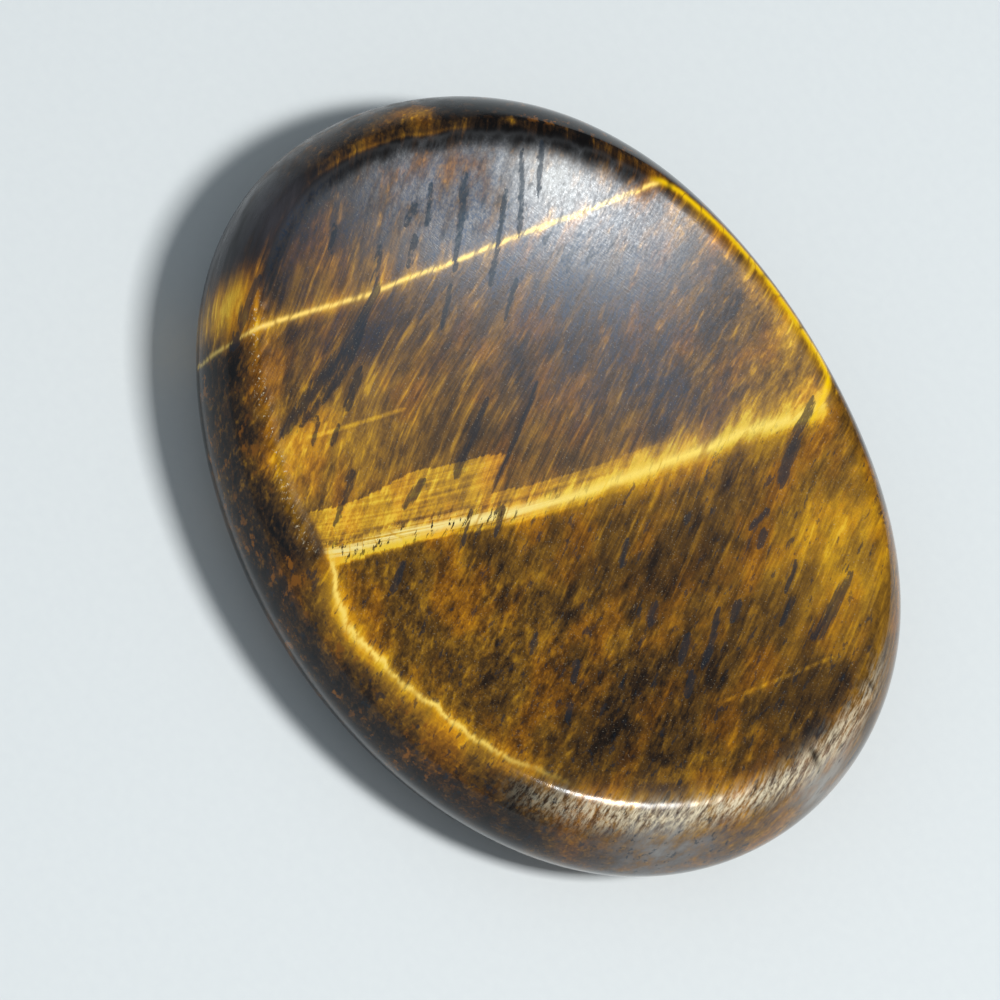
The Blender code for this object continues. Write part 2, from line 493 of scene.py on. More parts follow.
# %% Place the spindles
# Blue-grey spindles: (x, y) points along each, and its widths at the two ends, in mm
SPINDLES = (
    ("long one, top, bent round the left",
     ((-15.6, -1.6), (-13.5, -3.3), (-11.6, -6.8), (-10.2, -11.0), (-9.2, -13.6)), 0.5, 0.9),
    ("beside it", ((-12.4, -4.6), (-10.6, -7.6), (-9.2, -12.0)), 0.3, 0.5),
    ("top, over the line", ((-16.4, 4.6), (-14.2, 3.0), (-12.3, 1.4)), 0.5, 0.35),
    ("top, right of it", ((-14.6, 6.3), (-12.0, 4.2), (-10.6, 2.8)), 0.3, 0.35),
    ("top, faint", ((-15.6, 9.2), (-13.2, 7.6)), 0.4, 0.2),
    ("top left", ((-17.6, -3.6), (-16.4, -4.6)), 0.35, 0.3),
    ("small, top", ((-16.4, 1.4), (-15.6, 0.1)), 0.5, 0.3),
    ("left of the middle", ((-10.4, -6.4), (-8.8, -8.8)), 0.5, 0.45),
    ("left edge", ((-9.2, -10.6), (-8.0, -12.0)), 0.3, 0.25),
    ("left edge, second", ((-8.4, -9.5), (-7.5, -11.0)), 0.3, 0.3),
    ("through the gold wedge", ((-5.9, -10.3), (-4.8, -12.0), (-3.8, -13.6)), 0.7, 0.25),
    ("wide one in the middle", ((-5.6, -0.6), (-4.2, -2.6), (-2.8, -5.0)), 0.35, 0.85),
    ("narrow one in the middle", ((-4.9, 2.4), (-3.0, -0.4), (-1.2, -3.5)), 0.3, 0.3),
    ("in the wedge", ((-3.6, -6.7), (-2.8, -9.0)), 0.7, 0.3),
    ("across the lower line", ((-0.9, -5.2), (0.5, -7.0)), 0.3, 0.3),
    ("across the lower line, next", ((-0.2, -3.4), (1.0, -5.0)), 0.3, 0.25),
    ("strong, right of the line", ((3.9, 14.9), (5.4, 12.6), (7.1, 10.4)), 0.45, 1.0),
    ("right, below it", ((7.7, 9.2), (8.1, 7.6)), 0.35, 0.3),
    ("right, blot", ((8.5, 8.3), (9.2, 7.3)), 0.5, 0.5),
    ("right, slim", ((10.8, 8.5), (12.1, 6.9)), 0.45, 0.4),
    ("right, broad", ((13.0, 10.6), (14.2, 8.2), (15.0, 6.2)), 0.4, 1.0),
    ("low, blot", ((11.0, 4.6), (11.8, 3.4)), 0.7, 0.6),
    ("low, long thin", ((10.7, 3.4), (12.2, 1.6), (13.0, 0.2)), 0.35, 0.4),
    ("low, left", ((8.6, 0.7), (9.5, -0.6)), 0.6, 0.4),
    ("low, teal", ((11.0, 1.0), (12.2, -0.7)), 0.6, 0.4),
    ("low, by the amber", ((12.8, -0.3), (13.9, -1.7)), 0.6, 0.4),
    ("under the line", ((4.9, 1.7), (6.0, 0.2)), 0.4, 0.3),
    ("left, small", ((-0.4, -10.8), (0.8, -12.8)), 0.5, 0.3),
    ("left wall", ((-17.2, -9.2), (-15.9, -11.1), (-14.6, -12.7)), 0.55, 0.4),
    ("top, slim, right end", ((-15.9, 8.0), (-13.4, 6.6), (-12.0, 5.6)), 0.3, 0.25),
    ("top, slim, middle", ((-16.9, 2.6), (-15.0, 1.2)), 0.25, 0.35),
    ("over the line, slim", ((-15.0, 0.4), (-13.6, -0.9)), 0.4, 0.3),
    ("under the line, slim", ((-11.8, 0.9), (-10.0, -0.9)), 0.3, 0.2),
    ("under the line, right", ((-10.2, 4.4), (-8.6, 2.6)), 0.35, 0.25),
    ("low right, slim", ((12.4, 7.2), (13.4, 5.4)), 0.35, 0.25),
    ("low left, fleck", ((6.6, -6.4), (7.4, -7.6)), 0.5, 0.3),
    ("low left, fleck, second", ((9.0, -5.4), (9.9, -6.6)), 0.5, 0.4),
    ("low left, fleck, third", ((10.6, -7.4), (11.6, -8.6)), 0.5, 0.3),
)


def along_path(points, first_width, last_width):
    """1 on the middle of a path that swells and tapers, 0 at its edge and less outside it."""
    best = np.full(len(x), -4.0)
    count = len(points) - 1
    for i, ((x0, y0), (x1, y1)) in enumerate(zip(points, points[1:])):
        run_x, run_y = x1 - x0, y1 - y0
        share = np.clip(((x - x0) * run_x + (y - y0) * run_y) / (run_x**2 + run_y**2), 0, 1)
        off = np.hypot(x - x0 - share * run_x, y - y0 - share * run_y)
        on_path = (i + share) / count
        width = first_width + (last_width - first_width) * on_path
        taper = np.sqrt(np.clip(1 - (2 * on_path - 1) ** 6, 0.05, 1))
        best = np.maximum(best, 1 - off / (width / 2 * taper + 0.07))
    return best


def add_up(patches):
    """Sum of the soft ovals of a list."""
    total = np.zeros(len(x))
    for name, centre_x, centre_y, length, width, turn, strength in patches:
        total += strength * oval(centre_x, centre_y, length, width, turn)
    return total


spindle = np.full(len(x), -1.0)
for name, points, first_width, last_width in SPINDLES:
    spindle = np.maximum(spindle, along_path(points, first_width, last_width))
write_attribute("spindle", "FLOAT", spindle)

# %% [markdown]
# At the two long sides the fibres are cut end on, and end on they shine least, so the wall is dark
# there. How far each point faces along the fibres comes from its normal. Where the rim turns over,
# bands of gold, amber and brown follow its crest. On the crest at the upper left a lighter line is a
# painted reflection of the room, and at the top of the hollow a darker band lies just inside the crest,
# where the grinding is also coarser. They are laid at bearings round the stone, because straight
# patches would cut across the rim.

# %% Measure the walls and the bands along the rim
DARK_EDGE = "dark edge at the top of the hollow"
# Bands along the rim: name, bearings in degrees from 0 to 360, mm outside the crest, width, strength
RIM_BANDS = (
    ("gold outside the left thread", 258, 314, 0.8, 0.8, 0.22),
    ("amber inside the right thread", 76, 126, -0.5, 0.7, 0.14),
    ("dark outside the right thread", 72, 130, 1.3, 0.6, -0.22),
    (DARK_EDGE, 122, 216, -0.5, 0.65, -0.36),
    ("dark edge at the lower end", 322, 372, -0.5, 0.4, -0.10),
    # A lighter line painted along the crest where it mirrors the room: a painted reflection
    ("painted reflection on the crest, upper left", 158, 226, 0.05, 0.14, 0.22),
    ("brown inside the right end's crest", 0, 44, -0.4, 0.5, -0.14),
)
RAGGED = 0.22  # mm that the edges of the bands wander at most
wall = np.where(on_top, fade(gap, -0.1, 0.9), 1.0)
end_on = np.abs(normals[:, :2] @ fibre_along) * wall
gold_tone = add_up(PATCHES)
ragged = noise_at(np.column_stack([along / 2.4, across / 1.0, z / 2.0]))
for name, start, end, band_gap, width, strength in RIM_BANDS:
    turned_bearing = (bearing - start + 20) % 360 - 20
    band = bell(gap, band_gap + min(RAGGED, width) * ragged, width) * on_top
    band *= between(turned_bearing, 0, end - start, 10, 10)
    gold_tone += strength * band
    if name == DARK_EDGE:
        dark_edge = band
write_attribute("end_on", "FLOAT", end_on)
# Flecks of rust lie on the walls, but not round the lower end
write_attribute("flecked", "FLOAT", fade(end_on, 0.2, 0.6) * (1 - fade(x, 8, 13)))
write_attribute("gold_tone", "FLOAT", gold_tone)
write_attribute("mottled", "FLOAT", (0.45 + add_up(MOTTLED_PATCHES)) * (1 - 0.8 * wall))
inside = (1 - fade(gap, -1.4, -0.4)) * (1 - 0.85 * dark_edge)
write_attribute("grey_tone", "FLOAT", add_up(GREY_PATCHES) * inside + add_up(GREY_WALLS))
# Milk-white quartz on the walls, and in the hollow a painted sheen
write_attribute("milky_and_sheen", "FLOAT", add_up(PAINTED_SHEEN_PATCHES) * inside + add_up(MILKY_WALLS))
# Left of the haze the hollow is ground more coarsely, from one bearing to the other
COARSE_BEARINGS = (150, 224)
COARSE = 0.5
coarse = COARSE * between(bearing % 360, *COARSE_BEARINGS, 16, 12) * fade(gap, -7, -3)
write_attribute("coarse", "FLOAT", np.maximum(dark_edge, coarse))
write_attribute("painted_nick_shade", "FLOAT", painted_nick_shade)
polished = np.where(on_top, fade(gap, -0.5, 0.0), 1.0)
wear = np.column_stack([polished, rough_band, chipped_edge])
write_attribute("wear", "FLOAT_VECTOR", wear)

# %% [markdown]
# ## The material: polished tiger's eye
# Tiger's eye is quartz, so its polish is the gloss of glass with an IOR of 1.54. Under it the parallel
# fibres shine like silk: their gloss is drawn out across the fibres and is tinted by rust. Colours
# are picked as sRGB hex values, and one function makes them linear.

# %% Helpers for the material


def linear(hex_colour):
    """An sRGB hex colour as linear red, green, blue and alpha."""
    parts = [int(hex_colour[i : i + 2], 16) / 255 for i in (1, 3, 5)]
    return [p / 12.92 if p <= 0.04045 else ((p + 0.055) / 1.055) ** 2.4 for p in parts] + [1.0]


def add(tree, kind, feeds=None, **settings):
    """Adds a node with its settings. feeds gives inputs, by name or place, a value, a node or an output."""
    node = tree.nodes.new("ShaderNode" + kind)
    for name, value in settings.items():
        setattr(node, name, value)
    for name, value in (feeds or {}).items():
        if isinstance(value, bpy.types.Node):
            value = value.outputs[0]
        if isinstance(value, bpy.types.NodeSocket):
            tree.links.new(value, node.inputs[name])
        else:
            node.inputs[name].default_value = value
    return node


def new_material(name):
    """An empty material with a Principled shader joined to its output."""
    material = bpy.data.materials.new(name)
    material.use_nodes = True
    material.node_tree.nodes.clear()
    shader = add(material.node_tree, "BsdfPrincipled")
    add(material.node_tree, "OutputMaterial", {"Surface": shader})
    return material, material.node_tree, shader


print("gold in linear light:", [round(v, 3) for v in linear("#E0AE3C")])

# %% [markdown]
# Layers of noise are stretched along the fibres. Each is as long and as wide as what it draws on
# the real stone: single threads of silk, streaks and wisps of them, mottles and amber clouds of rust,
# blue flecks and threads, notches, specks, torn ends, and the bundles from one to the next of which
# a bright line steps.

# %% Grain of the fibres
tigers_eye, tree, shader = new_material("polished_tigers_eye")
# What is written on the mesh is read back, as one number or as three
MEASURED = ("beside_faint", "end_on", "flecked", "gold_tone", "mottled", "grey_tone", "milky_and_sheen", "coarse",
            "painted_nick_shade", "spindle")
read = {name: add(tree, "Attribute", attribute_name=name).outputs["Fac"] for name in MEASURED}
axes = {}
for name in ("line_gaps", "line_power", "wear", "fibre_place"):
    vector = add(tree, "Attribute", attribute_name=name).outputs["Vector"]
    axes[name] = add(tree, "SeparateXYZ", {0: vector}).outputs
fibre_place = vector
across_place = axes["fibre_place"][1]  # mm across the fibres, from left to right
polish, torn_rim, chipped_rim = axes["wear"]
in_hollow = add(tree, "Math", {0: 1.0, 1: polish}, operation="SUBTRACT")

# Each layer: length along the fibre and width across it in mm, detail, roughness
GRAIN = {
    "silk": (5.0, 0.16, 3.0, 0.6),
    "streaks": (6.0, 0.75, 4.0, 0.6),
    "wisps": (6.5, 0.28, 2.0, 0.5),
    "patches": (2.8, 0.90, 5.0, 0.65),
    "mottles": (1.2, 0.55, 6.0, 0.7),
    "clouds": (5.0, 2.6, 5.0, 0.6),
    "flecks": (1.3, 0.38, 4.0, 0.65),
    "wall_flecks": (1.3, 0.50, 4.0, 0.6),
    "blue_threads": (4.4, 0.26, 2.0, 0.5),
    "notches": (1.3, 0.24, 3.0, 0.7),
    "specks": (0.26, 0.14, 4.0, 0.75),
    "dust": (0.09, 0.09, 1.0, 0.5),
    "bundles": (30.0, 3.6, 1.0, 0.5),
    "torn": (1.2, 0.22, 6.0, 0.8),
}
TORN_DEPTH = 0.5  # mm, and every other layer is as deep as it is wide
grain = {}
for name, (long, wide, detail, roughness) in GRAIN.items():
    deep = TORN_DEPTH if name == "torn" else wide
    stretch = (1 / long, 1 / wide, 1 / deep)
    place = add(tree, "VectorMath", {0: fibre_place, 1: stretch}, operation="MULTIPLY")
    feeds = {"Vector": place, "Scale": 1.0, "Detail": detail, "Roughness": roughness}
    grain[name] = add(tree, "TexNoise", feeds).outputs["Fac"]
print("layers of grain:", ", ".join(grain))

# %% [markdown]
# The hollow is covered in hairline scratches from the grinding wheel, which sparkle. The lower line
# and the wedge above it are striped by the steps in which the quartz grew.

# %% Scratches and growth stripes
SCRATCH_BEARING = math.radians(20)
SCRATCH_LENGTH = 0.5  # mm
SCRATCH_WIDTH = 0.065  # mm, wider than the real ones, which would be too fine to show
body_place = add(tree, "TexCoord").outputs["Object"]
body_axes = add(tree, "SeparateXYZ", {0: body_place}).outputs
scale = (1 / (SCRATCH_LENGTH * MM), 1 / (SCRATCH_WIDTH * MM), 1 / (SCRATCH_WIDTH * MM))
turned = add(tree, "Mapping", {"Vector": body_place, "Rotation": (0, 0, -SCRATCH_BEARING)})
place = add(tree, "VectorMath", {0: turned, 1: scale}, operation="MULTIPLY")
feeds = {"Vector": place, "Scale": 1.0, "Detail": 2.0, "Roughness": 0.7}
scratches = add(tree, "TexNoise", feeds).outputs["Fac"]

STRIPE_WIDTH = 0.24  # mm
STRIPE_LENGTH = 7.0  # mm
LINE_NAMES = ("upper", "lower", "thread")
line_gap = dict(zip(LINE_NAMES, axes["line_gaps"]))
line_power = dict(zip(LINE_NAMES, axes["line_power"]))
beside = add(tree, "Math", {0: line_gap["lower"], 1: 1 / STRIPE_WIDTH}, operation="MULTIPLY")
down = add(tree, "Math", {0: across_place, 1: 1 / STRIPE_LENGTH}, operation="MULTIPLY")
place = add(tree, "CombineXYZ", {0: beside, 1: down})
feeds = {"Vector": place, "Scale": 1.0, "Detail": 2.0, "Roughness": 0.6}
stripes = add(tree, "TexNoise", feeds).outputs["Fac"]
print("scratches", SCRATCH_WIDTH, "mm wide, growth stripes", STRIPE_WIDTH, "mm")

# %% [markdown]
# The bright lines are sheets through the stone where the kinked fibres mirror the light, and they are
# painted into the colour as highlights. A line is brightest on the sheet and glows beside it, so each is
# drawn from the distance to its sheet by a bell curve: a narrow one for the core and a wide one for the
# glow. From bundle to bundle a line steps a little, and a dark seam cuts it there. The thread of gold
# along the rim, also a painted highlight, is drawn the same way, frayed and uneven on the left and
# smooth on the right.

# %% Frayed and stepped distances from the lines
BUNDLE_STEP = 0.09  # of the bundle noise, from one step of a line to the next
steps = add(tree, "Math", {0: grain["bundles"], 1: BUNDLE_STEP}, operation="SNAP")
feeds = {0: steps, 1: 1 / BUNDLE_STEP, 2: -0.5 / BUNDLE_STEP}
step_count = add(tree, "Math", feeds, operation="MULTIPLY_ADD")
# Noise from -0.5 to 0.5
about_zero = {}
for name, source in {"fray": grain["silk"], "wander": grain["patches"], "sparkle": scratches}.items():
    about_zero[name] = add(tree, "Math", {0: source, 1: 0.5}, operation="SUBTRACT")
feeds = {"Value": across_place, "From Min": -3.5, "From Max": 3.0}
to_right = add(tree, "MapRange", feeds, interpolation_type="SMOOTHSTEP")
on_right = add(tree, "MapRange", {"Value": body_axes[1], "From Min": -1 * MM, "From Max": 1 * MM})
# What changes from left to right: which share of right it follows, and its value left and right.
# To the left the lower line is a broad pale band, and to the right a soft glow
LEFT_TO_RIGHT = {
    "lower core": (to_right, 0.28, 0.27),
    "lower glow": (to_right, 0.75, 1.0),
    "lower glow power": (to_right, 0.16, 0.38),
    "lower between stripes": (to_right, 0.05, 0.9),
    "lower notches": (to_right, 1.0, 0.2),
    "thread fraying": (on_right, 0.34, 0.10),
    "thread wander": (on_right, 0.9, 0.0),
    "thread core": (on_right, 0.15, 0.18),
    "thread glow": (on_right, 0.50, 0.34),
    "thread between patches": (on_right, 0.35, 0.9),
}
side = {}
for name, (share, left, right) in LEFT_TO_RIGHT.items():
    side[name] = add(tree, "MapRange", {"Value": share, "To Min": left, "To Max": right})
# Each line: its step, its fraying and how far it wanders, in mm
LINES = {"upper": (0.05, 0.14, 0.0), "lower": (0.11, 0.26, 0.0)}
LINES["thread"] = (0.05, side["thread fraying"], side["thread wander"])
away = {}
for name, (step, fraying, wander) in LINES.items():
    away[name] = line_gap[name]
    for source, reach in ((step_count, step), (about_zero["wander"], wander), (about_zero["fray"], fraying)):
        away[name] = add(tree, "Math", {0: source, 1: reach, 2: away[name]}, operation="MULTIPLY_ADD")
print("lines:", ", ".join(LINES))

# %% Cores and glows
# Each bell curve of a painted highlight: its line, how far past it the middle lies, and its width in mm.
# The last two are a darker seam between the wedge and the lower line, and a gold band under the line at
# the left, part of its painted glow
BELLS = {
    "upper core": ("upper", 0.0, 0.125),
    "upper glow": ("upper", 0.0, 0.50),
    "lower core": ("lower", 0.0, side["lower core"]),
    "lower glow": ("lower", 0.0, side["lower glow"]),
    "thread core": ("thread", 0.0, side["thread core"]),
    "thread glow": ("thread", 0.0, side["thread glow"]),
    "seam": ("lower", -0.62, 0.12),
    "band": ("lower", 0.52, 0.24),
}
drawn = {}
for name, (line, middle, width) in BELLS.items():
    off = add(tree, "Math", {0: away[line], 1: middle}, operation="SUBTRACT")
    share = add(tree, "Math", {0: off, 1: width}, operation="DIVIDE")
    square = add(tree, "Math", {0: share, 1: share}, operation="MULTIPLY")
    negative = add(tree, "Math", {0: square, 1: -1.0}, operation="MULTIPLY")
    curve = add(tree, "Math", {0: negative}, operation="EXPONENT")
    drawn[name] = add(tree, "Math", {0: curve, 1: line_power[line]}, operation="MULTIPLY")

BREAK = 0.007  # of the bundle noise, from the middle of a break in a line to its edge
beside_break = add(tree, "Math", {0: grain["bundles"], 1: BUNDLE_STEP / 2}, operation="PINGPONG")
feeds = {"Value": beside_break, "From Max": BREAK, "To Min": 0.3}
unbroken = add(tree, "MapRange", feeds, interpolation_type="SMOOTHSTEP")
# What dims the cores: growth stripes, blue threads and patches. Each: its noise, between which two
# values of it the core changes, and how much of the core is left below and above them
DIMMED = {
    "lower core": (stripes, 0.42, 0.54, side["lower between stripes"], 1.0),
    "upper core": (grain["blue_threads"], 0.52, 0.64, 1.0, 0.3),
    "thread core": (grain["patches"], 0.40, 0.52, side["thread between patches"], 1.0),
}
for name, (source, start, end, below, above) in DIMMED.items():
    feeds = {"Value": source, "From Min": start, "From Max": end, "To Min": below, "To Max": above}
    for share in (unbroken, add(tree, "MapRange", feeds)):
        drawn[name] = add(tree, "Math", {0: drawn[name], 1: share}, operation="MULTIPLY")

# To the right, a painted glow of golden fibres rises from the lower line and fades
feeds = {"Value": away["lower"], "From Min": -2.6, "From Max": -0.1}
rising = add(tree, "MapRange", feeds, interpolation_type="SMOOTHERSTEP")
feeds = {"Value": away["lower"], "From Min": 0.0, "From Max": 0.5, "To Min": 1.0, "To Max": 0.0}
for share in (add(tree, "MapRange", feeds), to_right, line_power["lower"]):
    rising = add(tree, "Math", {0: rising, 1: share}, operation="MULTIPLY")
print("bell curves:", ", ".join(drawn))

# %% [markdown]
# Above the left half of the lower line lies a wedge of pure gold. Its upper edge is as sharp as a
# cut and steps down to the right, always along a fibre.

# %% Gold wedge above the lower line
# Places across the fibres in mm between which the top of the wedge rises, and where it steps down
WEDGE_RISE = (-11.5, -7.0)
WEDGE_HEIGHTS = (2.1, 3.2)  # mm above the line
WEDGE_STEPS = ((-2.9, -1.95), (5.0, -1.3))
feeds = {"Value": across_place, "From Min": WEDGE_RISE[0], "From Max": WEDGE_RISE[1]}
feeds |= {"To Min": WEDGE_HEIGHTS[0], "To Max": WEDGE_HEIGHTS[1]}
height = add(tree, "MapRange", feeds)
for place, drop in WEDGE_STEPS:
    past = add(tree, "Math", {0: across_place, 1: place}, operation="GREATER_THAN")
    height = add(tree, "Math", {0: past, 1: drop, 2: height}, operation="MULTIPLY_ADD")
over_line = add(tree, "Math", {0: away["lower"], 1: height}, operation="ADD")
feeds = {"Value": over_line, "From Min": -0.06, "From Max": 0.06}
wedge_shape = add(tree, "MapRange", feeds, interpolation_type="SMOOTHSTEP")
feeds = {"Value": away["lower"], "From Min": 0.5, "From Max": 0.8, "To Min": 1.0, "To Max": 0.0}
above_line = add(tree, "MapRange", feeds, interpolation_type="SMOOTHSTEP")
feeds = {"Value": across_place, "From Min": -5.0, "From Max": 5.0, "To Min": 1.0, "To Max": 0.25}
for share in (above_line, add(tree, "MapRange", feeds)):
    wedge_shape = add(tree, "Math", {0: wedge_shape, 1: share}, operation="MULTIPLY")
wedge = add(tree, "Math", {0: wedge_shape, 1: line_power["lower"]}, operation="MULTIPLY")
feeds = {"Value": across_place, "From Min": -6.5, "From Max": -2.0, "To Min": 1.0, "To Max": 0.0}
far_left = add(tree, "MapRange", feeds, interpolation_type="SMOOTHSTEP")
for name, reach in (("seam", wedge_shape), ("band", far_left)):
    drawn[name] = add(tree, "Math", {0: drawn[name], 1: reach}, operation="MULTIPLY")
print("wedge steps:", len(WEDGE_STEPS))

# %% [markdown]
# The rust tone is one number from almost black to pale gold, summed from the patches, the
# grain and the painted glows of the lines. A colour ramp turns it into the browns and golds of the stone.

# %% Rust tone
feeds = {"Value": away["lower"], "From Min": -0.6, "From Max": 0.7}
lower_part = add(tree, "MapRange", feeds, interpolation_type="SMOOTHSTEP")
# Each layer: the noise that is darkest and brightest, and its power above and below the lower line
GRAIN_POWER = {
    "silk": (0.35, 0.65, 0.13, 0.09),
    "streaks": (0.36, 0.64, 0.13, 0.10),
    "wisps": (0.54, 0.70, 0.20, 0.12),
    "patches": (0.38, 0.62, 0.17, 0.12),
    "mottles": (0.36, 0.64, 0.06, 0.22),
    "clouds": (0.36, 0.64, 0.12, 0.18),
}
TONE_OF_ALL = 0.48
END_ON_SHADE = -0.36
tone = add(tree, "Math", {0: read["gold_tone"], 1: TONE_OF_ALL}, operation="ADD")
for name, (darkest, brightest, power_above, power_below) in GRAIN_POWER.items():
    power = add(tree, "MapRange", {"Value": lower_part, "To Min": power_above, "To Max": power_below})
    if name == "mottles":
        power = add(tree, "Math", {0: power, 1: read["mottled"]}, operation="MULTIPLY")
    feeds = {"Value": grain[name], "From Min": darkest, "From Max": brightest}
    feeds |= {"To Min": -0.5, "To Max": 0.5}
    contrast = add(tree, "MapRange", feeds, interpolation_type="SMOOTHSTEP")
    tone = add(tree, "Math", {0: contrast, 1: power, 2: tone}, operation="MULTIPLY_ADD")
striped = add(tree, "Math", {0: stripes, 1: 0.60, 2: 0.03}, operation="MULTIPLY_ADD")
feeds = {"Value": grain["streaks"], "From Min": 0.4, "From Max": 0.6, "To Min": 0.10, "To Max": 0.30}
rising_power = add(tree, "MapRange", feeds)
feeds = {"Value": read["beside_faint"], "From Max": 0.20, "To Min": 1.0, "To Max": 0.0}
faint = add(tree, "MapRange", feeds, interpolation_type="SMOOTHSTEP")
# What the tone takes from each source. The glows, the rising fibres and the band are painted highlight
SOURCES = (
    (read["end_on"], END_ON_SHADE),
    (wedge, striped),
    (drawn["seam"], -0.22),
    (drawn["band"], 0.34),
    (drawn["upper glow"], 0.30),
    (drawn["lower glow"], side["lower glow power"]),
    (drawn["thread glow"], 0.28),
    (rising, rising_power),
    (faint, 0.26),
    # The scratches also vary the tone, a painted sparkle of the light they catch
    (about_zero["sparkle"], 0.18),
)
for source, power in SOURCES:
    tone = add(tree, "Math", {0: source, 1: power, 2: tone}, operation="MULTIPLY_ADD")
rust = add(tree, "ValToRGB", {0: tone})
ramp = rust.color_ramp
RUST_COLOURS = (
    (0.00, "#0B0807"),
    (0.18, "#291C10"),
    (0.36, "#553B14"),
    (0.50, "#7C5818"),
    (0.64, "#A1761B"),
    (0.80, "#CE9B18"),
    (1.00, "#F6CE3A"),
)
for place, colour in RUST_COLOURS[1:-1]:
    ramp.elements.new(place)
for element, (place, colour) in zip(ramp.elements, RUST_COLOURS):
    element.position = place
    element.color = linear(colour)
print("rust colours:", len(RUST_COLOURS))

# %% [markdown]
# Many small marks lie over the rust: amber clouds, blue specks, flecks and threads of asbestos, short
# dark notches across the lower line, clusters of flecks on the walls, torn fibre ends, the white
# grains of chips, and dust. Each is the top of one layer of noise, kept to the places where the real
# stone has it.

# %% Marks
edge_free = add(tree, "Math", {0: 1.0, 1: read["coarse"]}, operation="SUBTRACT")
feeds = {"Value": grain["clouds"], "From Min": 0.42, "From Max": 0.58, "To Min": 0.15}
clusters = add(tree, "MapRange", feeds, interpolation_type="SMOOTHSTEP")
# Each mark: its layer, the noise at which it starts and is full, its full share, and what limits it
MARKS = {
    "amber clouds": ("clouds", 0.44, 0.66, 0.9, ()),
    "blue specks": ("specks", 0.44, 0.60, 1.0, (in_hollow,)),
    "blue flecks": ("flecks", 0.585, 0.65, 0.8, (lower_part,)),
    "blue threads": ("blue_threads", 0.54, 0.72, 0.65, (in_hollow, read["grey_tone"])),
    "wall flecks": ("wall_flecks", 0.56, 0.64, 1.0, (read["flecked"], clusters)),
    "notches": ("notches", 0.57, 0.62, 1.0, (drawn["lower glow"], side["lower notches"])),
    "torn gaps": ("torn", 0.46, 0.34, 1.0, (torn_rim,)),
    "torn straw": ("torn", 0.42, 0.62, 0.9, (torn_rim,)),
    "chips": ("specks", 0.58, 0.68, 1.0, (chipped_rim,)),
    "dust": ("dust", 0.68, 0.74, 0.16, (in_hollow, edge_free)),
}
mark = {}
for name, (layer, start, full, full_share, limits) in MARKS.items():
    feeds = {"Value": grain[layer], "From Min": start, "From Max": full, "To Max": full_share}
    mark[name] = add(tree, "MapRange", feeds, interpolation_type="SMOOTHSTEP")
    for limit in limits:
        mark[name] = add(tree, "Math", {0: mark[name], 1: limit}, operation="MULTIPLY")
print("marks:", ", ".join(mark))

# %% [markdown]
# Clouds of the rust are more amber than the rest. Over the rust lie the violet-grey of quartz with
# little rust in it, paler milk-white quartz on the walls and a painted sheen in the hollow, the
# blue-grey spindles with frayed edges, the painted highlights of the bright lines, each in its own pale
# gold, and last the wear and the painted shade in the nicks. Where the wheel tore the rim, loose fibre
# ends scatter the light, pale straw beside dark gaps.

# %% Shares of quartz, spindles and cores
grey_power = add(tree, "Math", {0: grain["streaks"], 1: -3.0, 2: 2.4}, operation="MULTIPLY_ADD")
quartz_share = {}
for name in ("grey_tone", "milky_and_sheen"):
    feeds = {0: read[name], 1: grey_power}
    quartz_share[name] = add(tree, "Math", feeds, operation="MULTIPLY", use_clamp=True)
frayed_edge = read["spindle"]
for layer, power in (("silk", 2.4), ("flecks", 1.0)):
    feeds = {0: grain[layer], 1: power, 2: frayed_edge}
    frayed_edge = add(tree, "Math", feeds, operation="MULTIPLY_ADD")
feeds = {"Value": frayed_edge, "From Min": 1.75, "From Max": 2.3}
spindle_share = add(tree, "MapRange", feeds, interpolation_type="SMOOTHSTEP")
blue = spindle_share
for name in ("blue flecks", "blue threads"):
    blue = add(tree, "Math", {0: blue, 1: mark[name]}, operation="MAXIMUM")
blue_share = add(tree, "Math", {0: blue, 1: 0.80}, operation="MULTIPLY")
open_share = add(tree, "Math", {0: 1.0, 1: spindle_share}, operation="SUBTRACT")
shown_core = {}
for name in LINES:
    feeds = {0: drawn[name + " core"], 1: open_share}
    shown_core[name] = add(tree, "Math", feeds, operation="MULTIPLY", use_clamp=True)
feeds = {0: mark["torn straw"], 1: mark["chips"]}
straw_share = add(tree, "Math", feeds, operation="ADD", use_clamp=True)
print("spindles:", len(SPINDLES))

# %% Lay the colours over each other
AMBER = "#FFE4BC"  # what an amber cloud lets through of the rust below
# Pale grey of milk-white quartz on the walls and of the painted sheen in the hollow
MILKY_QUARTZ_AND_SHEEN = "#9A9994"
WALL_AMBER = "#7C4C10"
# Pale gold of the painted highlight on the upper line
UPPER_LINE_PAINTED_HIGHLIGHT = "#FFD86C"
NOTCH_BROWN = "#2A1B0C"
STRAW = "#E0D3B4"
GAP_BROWN = "#3A2914"
# Painted shade inside the nicks
NICK_SHADE_BROWN = "#170E06"
DUST_WHITE = "#E6DABF"
# Colours that change over the stone: the share of the second, and both. The painted highlights of
# the lower line and the thread are paler on the left
BLENDS = {
    "quartz": (mark["blue specks"], "#47454A", "#253C58"),
    "spindle": (read["grey_tone"], "#161F29", "#1F3747"),
    "lower core": (to_right, "#FFEA96", "#FFE068"),
    "thread core": (on_right, "#FFDC6A", "#FFD000"),
}
blended = {}
for name, (share, first, second) in BLENDS.items():
    feeds = {0: share, 6: linear(first), 7: linear(second)}
    blended[name] = add(tree, "Mix", feeds, data_type="RGBA").outputs[2]
feeds = {0: mark["amber clouds"], 6: rust, 7: linear(AMBER)}
stone_colour = add(tree, "Mix", feeds, data_type="RGBA", blend_type="MULTIPLY").outputs[2]
